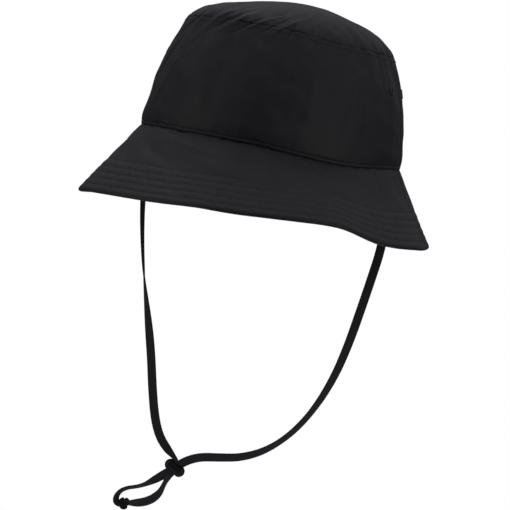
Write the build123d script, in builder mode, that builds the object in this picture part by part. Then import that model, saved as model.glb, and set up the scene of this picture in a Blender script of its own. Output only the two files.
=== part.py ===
"""A bucket hat with a chin strap.

The frame: +Z runs up through the crown, the front is towards -Y and the ears are at -X and +X.
The origin is the middle of the seam between the crown and the brim. Sizes are in millimetres.

Every layer of cloth is drawn as a section over the X axis, turned about Z and then stretched
along Y, which makes the oval of a head. The chin strap hangs in the plane Y = 0.
"""

from build123d import *
from math import asin, atan2, cos, degrees, hypot, pi, radians, sin, sqrt, tan
import os

# The oval of the head
BASE_RADIUS = 88.0  # outer half width of the crown at its base seam
OVAL = 1.17  # length of the oval over its width

# The crown's side leans in as it rises, along one large arc
TOP_RADIUS = 70.0
TOP_HEIGHT = 78.0
SIDE_ARC_RADIUS = 200.0
SIDE_LOW = 0.3  # the cloth's lower and upper edges
SIDE_HIGH = TOP_HEIGHT - 0.9
LINING_LOW = SIDE_LOW + 1
LINING_HIGH = TOP_HEIGHT - 2.4

# The tip is a shallow cap with a rounded shoulder
CAP_HEIGHT = 99.0
CAP_ARC_RADIUS = 244.0
SHOULDER_START = 46.0  # half width where the cap turns into the shoulder

# The brim
BRIM_WIDTH = 58.5  # from the base seam to the edge, down the slope
BRIM_ANGLE = 34.9  # degrees from vertical
BRIM_START = 0.6  # the cloth starts this far below the base seam

# Cloth thicknesses, and the gap left between layers
SHELL = 0.7
LINING = 0.4
INTERLINING = 0.8
SWEATBAND = 1.0
SWEATBAND_WIDTH = 30.0
LAYER_GAP = 0.1
LINING_GAP = 0.4

# Stitching
THREAD_RADIUS = 0.3
THREAD_SIDES = 8
THREAD_GAP = 0.05  # between a row of thread and the cloth it lies on
BRIM_ROWS = 5
FIRST_ROW = 5.0  # from the brim's edge
ROW_SPACING = 5.5
TOPSTITCH_OFFSET = 2.5  # from the seam it runs beside

# Sewn eyelets: two near each ear
EYELET_ANGLE = 13.0  # degrees either side of the ear
EYELET_HEIGHT = 53.0
EYELET_RADIUS = 3.4
EYELET_HOLE_RADIUS = 1.4
EYELET_PROUD = 0.6
EYELET_FIT = 0.05

# The webbing tabs that hold the strap at the ears
TAB_X = 84.0
TAB_THICKNESS = 2.2
TAB_WIDTH = 9.0
TAB_TOP = 0.8
TAB_BOTTOM = -9.5

# The chin strap
STRAP_RADIUS = 1.3  # round, with the section of a flat strap 6 mm wide
STRAP_GAP = 0.3  # between a tab and the rounded end of the strap
STRAP_TOP = TAB_BOTTOM - STRAP_GAP - STRAP_RADIUS  # the strap swings about this height
ARC_SHARE = 0.45  # the part of the shorter run that a bend uses

# The slider, seen from the front: a bar with a lobe at each end, across the strap
SLIDER_X = -25.2
SLIDER_Z = -227.4
SLIDER_DIRECTION = (-0.6, -0.8)  # along the strap, towards the knot
SLIDER_LENGTH = 15.0
LOBE_RADIUS = 3.6
WAIST_WIDTH = 6.2
SLIDER_DEPTH = 7.0
SLIDER_EDGE = 1.6
SLOT_WIDTH = 6.4
SLOT_DEPTH = 3.2
STRAND_OFFSET = 1.4  # each side of the strap lies this far from the slot's middle

# The knot
KNOT_X = -56.0
KNOT_Z = -259.0
KNOT_LENGTH = 8.6
KNOT_WIDTH = 6.4
KNOT_TILT = 78.0  # degrees from the X axis

os.makedirs("parts", exist_ok=True)


def finish(piece, label):
    """Names a finished piece and writes it."""
    piece.part.label = label
    export_step(piece.part, f"parts/{label}.step")


def halves(ring, label):
    """Cuts a full ring of cloth at its two side seams and writes both halves."""
    for side, keep in (("front", Keep.TOP), ("back", Keep.BOTTOM)):
        with BuildPart() as half:
            add(ring.part)
            split(bisect_by=Plane.XZ, keep=keep)
        finish(half, f"{label}_{side}")


# ---- The crown's side ----

side_chord = hypot(BASE_RADIUS - TOP_RADIUS, TOP_HEIGHT)
side_lean = atan2(BASE_RADIUS - TOP_RADIUS, TOP_HEIGHT)
side_to_centre = sqrt(SIDE_ARC_RADIUS**2 - (side_chord / 2) ** 2)
side_centre_x = (BASE_RADIUS + TOP_RADIUS) / 2 - side_to_centre * cos(side_lean)
side_centre_z = TOP_HEIGHT / 2 - side_to_centre * sin(side_lean)


def side_point(depth, height):
    """A point of the side's section at a height, depth inside its outer face."""
    reach = SIDE_ARC_RADIUS - depth
    return (side_centre_x + sqrt(reach**2 - (height - side_centre_z) ** 2), height)


def side_layer(depth, thickness, low, high):
    """A ring of cloth between two heights of the crown's side."""
    middle = (low + high) / 2
    inner = depth + thickness
    with BuildPart() as ring:
        with BuildSketch(Plane.XZ):
            with BuildLine():
                ThreePointArc(side_point(depth, low), side_point(depth, middle), side_point(depth, high))
                Line(side_point(depth, high), side_point(inner, high))
                ThreePointArc(side_point(inner, high), side_point(inner, middle), side_point(inner, low))
                Line(side_point(inner, low), side_point(depth, low))
            make_face()
        revolve(axis=Axis.Z)
        scale(by=(1, OVAL, 1))
    return ring


lining_depth = SHELL + LINING_GAP
sweatband_depth = lining_depth + LINING + LAYER_GAP
eyelet_angles = {
    "right_front": -EYELET_ANGLE,
    "right_back": EYELET_ANGLE,
    "left_back": 180 - EYELET_ANGLE,
    "left_front": 180 + EYELET_ANGLE,
}


def eyelet_plane(angle):
    """The plane of an eyelet on the crown's outer face: its z axis points straight out of the cloth."""
    radius = side_point(0, EYELET_HEIGHT)[0]
    x = radius * cos(radians(angle))
    y = radius * OVAL * sin(radians(angle))
    lean = asin((EYELET_HEIGHT - side_centre_z) / SIDE_ARC_RADIUS)
    outward = Vector(cos(radians(angle)), sin(radians(angle)) / OVAL, 0).normalized()
    normal = outward * cos(lean) + Vector(0, 0, sin(lean))
    return Plane(origin=(x, y, EYELET_HEIGHT), z_dir=normal)


# The outer shell, with a hole for each eyelet
crown_shell = side_layer(0, SHELL, SIDE_LOW, SIDE_HIGH)
with BuildPart() as pierced_shell:
    add(crown_shell.part)
    for angle in eyelet_angles.values():
        with BuildSketch(eyelet_plane(angle)):
            Circle(EYELET_RADIUS + EYELET_FIT)
        extrude(amount=3 * SHELL, both=True, mode=Mode.SUBTRACT)
halves(pierced_shell, "crown")

# The sewn eyelets: a raised ring of thread round each hole
for place, angle in eyelet_angles.items():
    face = eyelet_plane(angle)
    with BuildPart() as eyelet:
        with BuildSketch(face.offset(-SHELL)):
            Circle(EYELET_RADIUS)
            Circle(EYELET_HOLE_RADIUS, mode=Mode.SUBTRACT)
        extrude(amount=SHELL + EYELET_PROUD)
        outer_rims = eyelet.faces().sort_by(Axis(face.origin, face.z_dir))[-1].edges()
        fillet(outer_rims, EYELET_PROUD * 0.8)
    finish(eyelet, f"eyelet_{place}")

# The lining of the side, and the sweatband inside it
halves(side_layer(lining_depth, LINING, LINING_LOW, LINING_HIGH), "crown_lining")
finish(side_layer(sweatband_depth, SWEATBAND, LINING_LOW, LINING_LOW + SWEATBAND_WIDTH), "sweatband")

# ---- The tip ----

shoulder_tilt = asin(SHOULDER_START / CAP_ARC_RADIUS)
cap_centre_z = CAP_HEIGHT - CAP_ARC_RADIUS
shoulder_start_z = cap_centre_z + CAP_ARC_RADIUS * cos(shoulder_tilt)
shoulder_chord = hypot(TOP_RADIUS - SHOULDER_START, shoulder_start_z - TOP_HEIGHT)
shoulder_fall = atan2(shoulder_start_z - TOP_HEIGHT, TOP_RADIUS - SHOULDER_START)
shoulder_radius = shoulder_chord / (2 * sin(shoulder_fall - shoulder_tilt))
shoulder_end = 2 * shoulder_fall - shoulder_tilt
shoulder_x = SHOULDER_START - shoulder_radius * sin(shoulder_tilt)
shoulder_z = shoulder_start_z - shoulder_radius * cos(shoulder_tilt)


def cap_point(depth, tilt):
    """A point of the tip's flat middle. tilt is the slope there, in radians."""
    reach = CAP_ARC_RADIUS - depth
    return (reach * sin(tilt), cap_centre_z + reach * cos(tilt))


def shoulder_point(depth, tilt):
    """A point of the tip's rounded shoulder. tilt is the slope there, in radians."""
    reach = shoulder_radius - depth
    return (shoulder_x + reach * sin(tilt), shoulder_z + reach * cos(tilt))


def tip_layer(depth, thickness):
    """One layer of the tip, from the middle to the tip seam."""
    inner = depth + thickness
    shoulder_middle = (shoulder_tilt + shoulder_end) / 2
    with BuildPart() as layer:
        with BuildSketch(Plane.XZ):
            with BuildLine():
                ThreePointArc(
                    cap_point(depth, 0), cap_point(depth, shoulder_tilt / 2), cap_point(depth, shoulder_tilt)
                )
                ThreePointArc(
                    shoulder_point(depth, shoulder_tilt),
                    shoulder_point(depth, shoulder_middle),
                    shoulder_point(depth, shoulder_end),
                )
                Line(shoulder_point(depth, shoulder_end), shoulder_point(inner, shoulder_end))
                ThreePointArc(
                    shoulder_point(inner, shoulder_end),
                    shoulder_point(inner, shoulder_middle),
                    shoulder_point(inner, shoulder_tilt),
                )
                ThreePointArc(
                    cap_point(inner, shoulder_tilt), cap_point(inner, shoulder_tilt / 2), cap_point(inner, 0)
                )
                Line(cap_point(inner, 0), cap_point(depth, 0))
            make_face()
        revolve(axis=Axis.Z)
        scale(by=(1, OVAL, 1))
    return layer


finish(tip_layer(0, SHELL), "crown_tip")
finish(tip_layer(lining_depth, LINING), "tip_lining")

# ---- The brim ----

flare = sin(radians(BRIM_ANGLE))
fall = cos(radians(BRIM_ANGLE))


def brim_point(along, depth):
    """A point of the brim's section: along down the slope, depth below the upper face."""
    return (BASE_RADIUS + along * flare - depth * fall, -along * fall - depth * flare)


def brim_layer(depth, thickness, end):
    """A cone of cloth from the base seam to end."""
    with BuildPart() as cone:
        with BuildSketch(Plane.XZ):
            with BuildLine():
                Polyline(
                    brim_point(BRIM_START, depth),
                    brim_point(end, depth),
                    brim_point(end, depth + thickness),
                    brim_point(BRIM_START, depth + thickness),
                    close=True,
                )
            make_face()
        revolve(axis=Axis.Z)
        scale(by=(1, OVAL, 1))
    return cone


interlining_depth = SHELL + LAYER_GAP
under_depth = interlining_depth + INTERLINING + LAYER_GAP
brim_thickness = under_depth + SHELL
halves(brim_layer(0, SHELL, BRIM_WIDTH), "brim_upper")
halves(brim_layer(under_depth, SHELL, BRIM_WIDTH), "brim_under")
finish(brim_layer(interlining_depth, INTERLINING, BRIM_WIDTH - 1), "brim_interlining")

# ---- Stitching ----


def stitch_ring(centre):
    """One row of thread round the hat, through a point of the section."""
    with BuildPart() as ring:
        with BuildSketch(Plane.XZ):
            with Locations(centre):
                RegularPolygon(THREAD_RADIUS, THREAD_SIDES)
        revolve(axis=Axis.Z)
        scale(by=(1, OVAL, 1))
    return ring


thread_lift = THREAD_RADIUS + THREAD_GAP
brim_row_places = [BRIM_WIDTH - FIRST_ROW - row * ROW_SPACING for row in range(BRIM_ROWS)]
with BuildPart() as brim_stitching:
    for place in brim_row_places:
        for depth in (-thread_lift, brim_thickness + thread_lift):
            add(stitch_ring(brim_point(place, depth)).part)
finish(brim_stitching, "brim_stitching")
finish(stitch_ring(side_point(-thread_lift, TOPSTITCH_OFFSET)), "base_topstitch")
finish(stitch_ring(side_point(-thread_lift, SIDE_HIGH - TOPSTITCH_OFFSET)), "tip_topstitch")

# ---- The strap's anchors ----

for label, side in (("left", -1), ("right", 1)):
    with BuildPart() as tab:
        with BuildSketch(Plane.XY.offset(TAB_BOTTOM)):
            with Locations((side * TAB_X, 0)):
                RectangleRounded(TAB_THICKNESS, TAB_WIDTH, TAB_THICKNESS * 0.4)
        extrude(amount=TAB_TOP - TAB_BOTTOM)
    finish(tab, f"strap_anchor_{label}")

# ---- The slider ----

along_x, along_z = SLIDER_DIRECTION
across_x, across_z = -along_z, along_x


def by_slider(along, across):
    """A point (x, z) counted from the slider's middle, along the strap and across it."""
    return (
        SLIDER_X + along * along_x + across * across_x,
        SLIDER_Z + along * along_z + across * across_z,
    )


slider_face = Plane(
    origin=(SLIDER_X, 0, SLIDER_Z), x_dir=(across_x, 0, across_z), z_dir=(0, -1, 0)
)
slider_slot = Plane(
    origin=(SLIDER_X, 0, SLIDER_Z), x_dir=(across_x, 0, across_z), z_dir=(along_x, 0, along_z)
)
lobe_offset = SLIDER_LENGTH / 2 - LOBE_RADIUS
with BuildPart() as slider:
    with BuildSketch(slider_face):
        Rectangle(2 * lobe_offset, WAIST_WIDTH)
        with Locations((-lobe_offset, 0), (lobe_offset, 0)):
            Circle(LOBE_RADIUS)
    extrude(amount=SLIDER_DEPTH / 2, both=True)
    fillet(slider.edges().filter_by(lambda edge: abs(abs(edge.center().Y) - SLIDER_DEPTH / 2) < 0.01), SLIDER_EDGE)
    with BuildSketch(slider_slot):
        Rectangle(SLOT_WIDTH, SLOT_DEPTH)
    extrude(amount=LOBE_RADIUS + 1, both=True, mode=Mode.SUBTRACT)
finish(slider, "strap_slider")

# ---- The knot ----

with BuildPart() as knot:
    with BuildSketch(Plane.XY):
        Ellipse(KNOT_LENGTH / 2, KNOT_WIDTH / 2)
        Rectangle(KNOT_LENGTH, KNOT_WIDTH, align=(Align.CENTER, Align.MAX), mode=Mode.SUBTRACT)
    revolve(axis=Axis.X)
knot_place = Location((KNOT_X, 0, KNOT_Z), (0, -KNOT_TILT, 0))
with BuildPart() as placed_knot:
    add(knot.part.moved(knot_place))
finish(placed_knot, "strap_knot")

# ---- The chin strap ----

# Points (x, z) of each stretch of strap. The left side goes through the slider's upper strand
# place into the loop's upper strand, and the right side through the lower place.
left_route = [
    (-TAB_X, STRAP_TOP),
    (-84.0, -29.0),
    (-82.2, -51.0),
    (-78.0, -75.0),
    (-71.9, -101.0),
    (-63.9, -127.5),
    (-56.2, -154.5),
    (-50.8, -178.0),
    (-45.4, -197.0),
    (-40.0, -208.2),
    (-33.8, -215.0),
    (-28.4, -218.8),
    (-24.4, -219.8),
    by_slider(-5.5, -STRAND_OFFSET),
    by_slider(0, -STRAND_OFFSET),
]
right_route = [
    (TAB_X, STRAP_TOP),
    (86.7, -30.0),
    (87.2, -52.0),
    (84.2, -75.0),
    (80.9, -98.0),
    (77.3, -121.0),
    (71.9, -144.5),
    (62.4, -168.5),
    (49.8, -188.2),
    (34.8, -202.4),
    (19.4, -210.4),
    (4.8, -213.6),
    (-7.4, -215.8),
    (-14.6, -218.8),
    by_slider(-6, STRAND_OFFSET),
    by_slider(0, STRAND_OFFSET),
]
upper_route = [
    by_slider(0, -STRAND_OFFSET),
    by_slider(5, -STRAND_OFFSET),
    (-33.4, -234.6),
    (-38.4, -239.2),
    (-44.0, -243.4),
    (-50.0, -246.2),
    (-56.0, -248.2),
    (-60.6, -251.6),
    (-62.8, -255.6),
    (-62.6, -258.8),
    (-60.0, -260.4),
    (KNOT_X, KNOT_Z),
]
lower_route = [
    by_slider(0, STRAND_OFFSET),
    by_slider(5, STRAND_OFFSET),
    (-29.4, -236.6),
    (-31.0, -241.4),
    (-32.4, -246.2),
    (-35.8, -251.0),
    (-40.8, -254.6),
    (-46.6, -256.8),
    (-51.8, -258.2),
    (KNOT_X, KNOT_Z + 0.2),
]


def bend_radii(points):
    """The radius at each corner of a route: as large as the shorter run beside it allows."""
    radii = []
    for before, here, after in zip(points, points[1:], points[2:]):
        turn = (Vector(*here) - Vector(*before)).get_angle(Vector(*after) - Vector(*here))
        shorter = min(hypot(here[0] - before[0], here[1] - before[1]), hypot(after[0] - here[0], after[1] - here[1]))
        radii.append(ARC_SHARE * shorter / tan(radians(turn / 2)))
    return radii


def strap_length(route, label):
    """Makes one stretch of strap along a route and returns its length."""
    radii = bend_radii(route)
    with BuildPart() as strap:
        with BuildLine(Plane.XZ) as line:
            FilletPolyline(*route, radius=radii)
        path = line.wires()[0]
        with BuildSketch(Plane(origin=path @ 0, z_dir=path % 0)):
            Circle(STRAP_RADIUS)
        sweep(path=path)
        length = path.length
        print(label, round(length, 1), "mm")
        if "loop" in label:
            add(placed_knot.part, mode=Mode.SUBTRACT)
        else:
            with Locations(path @ 0):
                Sphere(STRAP_RADIUS)
    finish(strap, label)
    return length


total = sum(
    strap_length(route, label)
    for route, label in (
        (left_route, "strap_left"),
        (right_route, "strap_right"),
        (upper_route, "strap_loop_upper"),
        (lower_route, "strap_loop_lower"),
    )
)
print("whole strap", round(total, 1), "mm")
inner_base = side_point(sweatband_depth + SWEATBAND, LINING_LOW)[0]
around = 2 * pi * inner_base * sqrt((1 + OVAL**2) / 2)
print("inside of the sweatband", round(around, 1), "mm round; shoulder ends at", round(degrees(shoulder_end), 1))
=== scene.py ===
"""The looks of the bucket hat: woven shell, stitched brim, lining, eyelets and chin strap.

Everything is in metres in the row frame: +Z up through the crown, the front towards -Y, ears on X.
Each layer of cloth starts as a grid of points on a smooth form, is moved along its own normals by
folds, puckers and stitched channels, and is then given its thickness.
"""

from functools import partial
from math import asin, atan2, cos, hypot, pi, radians, sin, sqrt

import bmesh
import bpy
import numpy as np
from mathutils import Matrix, Vector


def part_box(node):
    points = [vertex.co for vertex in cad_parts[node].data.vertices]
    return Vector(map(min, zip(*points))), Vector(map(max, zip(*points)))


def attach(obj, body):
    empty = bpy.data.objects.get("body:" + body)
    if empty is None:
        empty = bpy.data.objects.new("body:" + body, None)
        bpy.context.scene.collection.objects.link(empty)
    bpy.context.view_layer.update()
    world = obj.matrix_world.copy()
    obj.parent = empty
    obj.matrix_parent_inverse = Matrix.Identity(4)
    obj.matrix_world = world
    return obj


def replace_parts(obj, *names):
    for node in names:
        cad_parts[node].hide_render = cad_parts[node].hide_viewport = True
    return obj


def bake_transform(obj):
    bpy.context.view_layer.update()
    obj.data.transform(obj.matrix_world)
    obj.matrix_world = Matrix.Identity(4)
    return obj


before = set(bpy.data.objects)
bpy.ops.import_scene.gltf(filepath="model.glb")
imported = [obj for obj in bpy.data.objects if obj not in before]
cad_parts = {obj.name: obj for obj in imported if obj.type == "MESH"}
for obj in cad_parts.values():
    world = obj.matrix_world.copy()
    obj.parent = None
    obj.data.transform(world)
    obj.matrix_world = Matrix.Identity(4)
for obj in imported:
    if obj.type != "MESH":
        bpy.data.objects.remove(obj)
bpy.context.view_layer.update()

MM = 0.001

# ---- Sizes, from the frame where it has them ----

tip_low, tip_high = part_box("crown_tip")
side_low, side_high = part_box("crown_front")
slider_low, slider_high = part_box("strap_slider")
knot_low, knot_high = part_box("strap_knot")

BASE_RADIUS = side_high.x  # half width at the base seam
OVAL = -side_low.y / side_high.x
TOP_RADIUS = tip_high.x
TOP_HEIGHT = tip_low.z
CAP_HEIGHT = tip_high.z
SIDE_ARC_RADIUS = 200 * MM
CAP_ARC_RADIUS = 244 * MM
SHOULDER_START = 46 * MM

SHELL = 0.6 * MM
LINING_DEPTH = 2.9 * MM  # below the shell's outer face, as the sweatband's depth is
LINING = 0.4 * MM
SWEATBAND_DEPTH = 3.7 * MM
SWEATBAND = 0.9 * MM
SWEATBAND_WIDTH = 30 * MM

BRIM_WIDTH = 59.5 * MM
BRIM_THICKNESS = 2.6 * MM
BRIM_ROWS = 5
FIRST_ROW = 5.2 * MM  # from the brim's edge
ROW_SPACING = 5.4 * MM
BRIM_SPREAD = 0.6  # how fast the brim's oval grows down its slope
TUCK = 0.7 * MM  # how far the crown turns in at the base seam
TUCKED_IN = 1.8 * MM  # how far the brim reaches up inside the crown
DOME_HOLE = 1.5 * MM  # radius of the fan of faces in a dome's middle

TOPSTITCH_HEIGHT = 2.7 * MM
STITCH = 2.5 * MM
STITCH_PITCH = 3.2 * MM
THREAD_RADIUS = 0.24 * MM

STRAP_WIDTH = 6.1 * MM
STRAP_THICKNESS = 1.35 * MM

COLUMNS = 720  # points round the hat
ROUND_BASE = BASE_RADIUS * (1 + OVAL) / 2  # the base oval's mean radius
around = np.linspace(0, 2 * pi, COLUMNS, endpoint=False) - pi

# ---- Camera ----

CAMERA_DISTANCE = 1.5
CAMERA_AZIMUTH = radians(13)
CAMERA_HEIGHT = 22 * MM
CAMERA_ROLL = radians(10.6)
VIEW_WIDTH = 345.3 * MM  # what the view spans at the hat's distance
LOOK_RIGHT = 2.7 * MM
LOOK_HEIGHT = -73.2 * MM

to_camera = Vector((sin(CAMERA_AZIMUTH), -cos(CAMERA_AZIMUTH), 0))
camera_right = Vector((cos(CAMERA_AZIMUTH), sin(CAMERA_AZIMUTH), 0))


def make_camera():
    data = bpy.data.cameras.new("camera")
    camera = bpy.data.objects.new("camera", data)
    bpy.context.scene.collection.objects.link(camera)
    data.lens = data.sensor_width * CAMERA_DISTANCE / VIEW_WIDTH
    data.clip_end = 20
    target = camera_right * LOOK_RIGHT + Vector((0, 0, LOOK_HEIGHT))
    camera.location = target + to_camera * CAMERA_DISTANCE
    camera.location.z = CAMERA_HEIGHT
    aim = (target - camera.location).to_track_quat("-Z", "Y").to_matrix().to_4x4()
    turn = Matrix.Rotation(CAMERA_ROLL, 4, "Z")
    camera.matrix_world = Matrix.Translation(camera.location) @ aim @ turn
    bpy.context.scene.camera = camera


make_camera()

# ---- Materials ----


def fill(made, values):
    """Gives a node its settings and its inputs' values. A value that is a socket is linked."""
    for key, value in values:
        if isinstance(key, str) and hasattr(made, key):
            setattr(made, key, value)
            continue
        socket = made.inputs[key if isinstance(key, int) else key.replace("_", " ")]
        if isinstance(value, bpy.types.NodeSocket):
            made.id_data.links.new(value, socket)
        else:
            socket.default_value = value


def add_node(tree, kind, *inputs, **named):
    """A new node with its inputs in order and its settings and other inputs by name."""
    made = tree.nodes.new(kind)
    fill(made, [*named.items(), *enumerate(inputs)])
    return made


def new_material(name):
    """A new material, with functions that add a node to it and that fill in its shader."""
    material = bpy.data.materials.new(name)
    material.use_nodes = True
    tree = material.node_tree

    def shade(**values):
        fill(tree.nodes["Principled BSDF"], values.items())

    return material, partial(add_node, tree), shade


def noise(node, place, scale, detail=2.0):
    return node("ShaderNodeTexNoise", Vector=place, Scale=scale, Detail=detail).outputs["Fac"]


def colour_ramp(node, factor, dark, light, start=0.0, end=1.0):
    made = node("ShaderNodeValToRGB", factor)
    for element, place, colour in zip(made.color_ramp.elements, (start, end), (dark, light)):
        element.position = place
        element.color = (*colour, 1)
    return made.outputs["Color"]


def value_range(node, factor, low, high):
    return node("ShaderNodeMapRange", Value=factor, To_Min=low, To_Max=high).outputs["Result"]


def relief_normal(node, height, strength, distance):
    return node("ShaderNodeBump", Height=height, Strength=strength, Distance=distance).outputs["Normal"]


def thread_waves(node, place, pitch, angle):
    """Parallel threads at a pitch in metres, running at an angle in degrees across the cloth."""
    turned = node("ShaderNodeMapping", Vector=place, Rotation=(0, 0, radians(angle))).outputs["Vector"]
    bands = 0.314 / pitch  # the wave node's scale for one band to each pitch
    wave = node("ShaderNodeTexWave", wave_type="BANDS", bands_direction="X", Vector=turned, Scale=bands)
    return wave.outputs["Fac"]


def woven_cloth(name, dark, light, roughness, pitch, bump, sheen, twill=False):
    """Woven cloth with colour that drifts over the surface, and raised threads both ways."""
    material, node, shade = new_material(name)
    place = node("ShaderNodeUVMap", uv_map="cloth").outputs["UV"]
    broad = noise(node, place, 22.0, 6.0)
    slub = noise(node, place, 900.0)
    tone = node("ShaderNodeMath", slub, 0.35, broad, operation="MULTIPLY_ADD").outputs[0]
    ways = ((45, 1), (45, 2)) if twill else ((0, 1), (90, 1))
    threads = [thread_waves(node, place, pitch * wider, angle) for angle, wider in ways]
    weave = node("ShaderNodeMath", *threads, operation="ADD" if twill else "MAXIMUM").outputs[0]
    relief = node("ShaderNodeMath", slub, 0.8, weave, operation="MULTIPLY_ADD").outputs[0]
    shade(
        Base_Color=colour_ramp(node, tone, dark, light, 0.45, 0.95),
        Roughness=value_range(node, broad, roughness - 0.06, roughness + 0.08),
        Normal=relief_normal(node, relief, bump, pitch * 0.25),
        Specular_IOR_Level=0.42,
        Sheen_Weight=sheen,
        Sheen_Roughness=0.4,
        Sheen_Tint=(0.75, 0.78, 0.9, 1),
    )
    return material


def braided_webbing(name, dark, light):
    """The flat braid of the strap: a herringbone of yarns across its width."""
    material, node, shade = new_material(name)
    place = node("ShaderNodeUVMap", uv_map="cloth").outputs["UV"]
    yarns = [thread_waves(node, place, 0.75 * MM, angle) for angle in (38, -38)]
    braid = node("ShaderNodeMath", *yarns, operation="MAXIMUM").outputs[0]
    shade(
        Base_Color=colour_ramp(node, braid, dark, light),
        Roughness=value_range(node, noise(node, place, 400.0), 0.65, 0.8),
        Normal=relief_normal(node, braid, 0.35, 0.12 * MM),
        Specular_IOR_Level=0.25,
        Sheen_Weight=0.08,
        Sheen_Roughness=0.4,
    )
    return material


def sewing_thread(name, dark, light):
    """Twisted thread: fine slanting plies and a soft shine."""
    material, node, shade = new_material(name)
    plies = noise(node, node("ShaderNodeTexCoord").outputs["Object"], 2500.0)
    shade(
        Base_Color=colour_ramp(node, plies, dark, light),
        Roughness=0.42,
        Normal=relief_normal(node, plies, 0.4, 0.1 * MM),
        Specular_IOR_Level=0.5,
        Sheen_Weight=0.15,
    )
    return material


def moulded_rubber(name, dark, light):
    """Satin rubber with a fine grain."""
    material, node, shade = new_material(name)
    grain = noise(node, node("ShaderNodeTexCoord").outputs["Object"], 1800.0, 4.0)
    shade(
        Base_Color=colour_ramp(node, grain, dark, light),
        Roughness=value_range(node, grain, 0.34, 0.5),
        Normal=relief_normal(node, grain, 0.25, 0.08 * MM),
        Specular_IOR_Level=0.35,
    )
    return material


SHELL_DARK, SHELL_LIGHT = (0.0080, 0.0080, 0.0105), (0.0130, 0.0130, 0.0165)
materials = {
    "shell_fabric": woven_cloth("shell_fabric", SHELL_DARK, SHELL_LIGHT, 0.5, 0.42 * MM, 0.35, 0.06),
    "under_brim_fabric": woven_cloth(
        "under_brim_fabric", SHELL_DARK, SHELL_LIGHT, 0.6, 0.42 * MM, 0.35, 0.03
    ),
    "lining_fabric": woven_cloth(
        "lining_fabric", (0.010, 0.010, 0.012), (0.018, 0.018, 0.020), 0.75, 1.1 * MM, 0.9, 0.05
    ),
    "interlining": woven_cloth(
        "interlining", (0.05, 0.05, 0.05), (0.09, 0.09, 0.09), 0.8, 0.6 * MM, 0.5, 0.0
    ),
    "sweatband_fabric": woven_cloth(
        "sweatband_fabric", (0.009, 0.009, 0.010), (0.016, 0.016, 0.018), 0.65, 0.8 * MM, 0.8, 0.08, True
    ),
    # The thread's lit copy: its colour is raised above the black fabric's into a painted highlight, for the
    # light the brim's stitches catch
    "thread": sewing_thread("thread", (0.026, 0.026, 0.030), (0.070, 0.070, 0.079)),
    # The thread's shaded copy: the same thread made darker, painted shade, for the crown's topstitching and
    # the eyelets
    "thread_painted_shade": sewing_thread("thread_painted_shade", (0.006, 0.006, 0.007), (0.018, 0.018, 0.021)),
    "strap_webbing": braided_webbing("strap_webbing", (0.017, 0.017, 0.019), (0.034, 0.034, 0.039)),
    # The webbing's shaded copy: the same braid made darker, painted shade for the knot's tight folds
    "webbing_painted_shade": braided_webbing("webbing_painted_shade", (0.002, 0.002, 0.0025), (0.010, 0.010, 0.012)),
    "slider_rubber": moulded_rubber("slider_rubber", (0.002, 0.002, 0.002), (0.005, 0.005, 0.0055)),
}

# ---- Meshes ----


def unit(vectors):
    return vectors / np.maximum(np.linalg.norm(vectors, axis=-1, keepdims=True), 1e-12)


def squarish(values, power):
    """Sines or cosines pushed out towards 1 and -1, which squares a round section off."""
    return np.sign(values) * np.abs(values) ** power


def distances(line):
    """How far along a line each of its points is."""
    return np.concatenate([[0], np.cumsum(np.linalg.norm(np.diff(line, axis=0), axis=1))])


def read_along(place, steps, values):
    """Vectors given at steps along a line, read at other places."""
    return np.stack([np.interp(place, steps, values[:, k]) for k in range(3)], axis=-1)


def grid_normals(points, wrap):
    """Unit normals of a grid of points. Rows run down the cloth and columns round the hat."""
    down = np.gradient(points, axis=0)
    if wrap:
        across = np.roll(points, -1, axis=1) - np.roll(points, 1, axis=1)
    else:
        across = np.gradient(points, axis=1)
    return unit(np.cross(across, down))


def outward_normals(points, wrap=True):
    """Unit normals of a grid on the crown, away from the hat's middle."""
    middle = np.array([0, 0, 20 * MM])
    normals = grid_normals(points, wrap)
    facing = ((points - middle) * normals).sum(axis=2).mean()
    return normals if facing > 0 else -normals


def add_mesh(name, vertices, faces, slot, body, uv=None, finish=None):
    """A smooth mesh that rides on a body, with the finish of its material slot or another one.

    With no body it is left unattached.
    """
    mesh = bpy.data.meshes.new(name)
    mesh.from_pydata(np.asarray(vertices, float).tolist(), [], faces)
    mesh.update()
    mesh.polygons.foreach_set("use_smooth", [True] * len(mesh.polygons))
    if uv is not None:
        corners = np.zeros(len(mesh.loops), int)
        mesh.loops.foreach_get("vertex_index", corners)
        layer = mesh.uv_layers.new(name="cloth")
        layer.data.foreach_set("uv", np.asarray(uv, float)[corners].ravel())
    piece = bpy.data.objects.new(name, mesh)
    bpy.context.scene.collection.objects.link(piece)
    mesh.materials.append(materials[finish or slot])
    if body:
        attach(piece, body)
    return piece


def grid_faces(rows, columns, wrap, start=0, flip=False):
    """Quads over a grid whose points are numbered row by row."""
    across = np.arange(columns if wrap else columns - 1)
    row, column = np.meshgrid(np.arange(rows - 1), across, indexing="ij")
    after = (column + 1) % columns
    here, below = row * columns, (row + 1) * columns
    quads = np.stack([here + column, here + after, below + after, below + column], axis=-1).reshape(-1, 4)
    return (quads[:, ::-1] if flip else quads) + start


def tube_faces(rings, sides, start=0):
    """Faces of a tube with flat ends, whose points are numbered ring by ring."""
    last = start + (rings - 1) * sides
    ends = [[first + k for k in range(sides)] for first in (start, last)]
    return grid_faces(rings, sides, True, start).tolist() + [ends[0][::-1], ends[1]]


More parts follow.
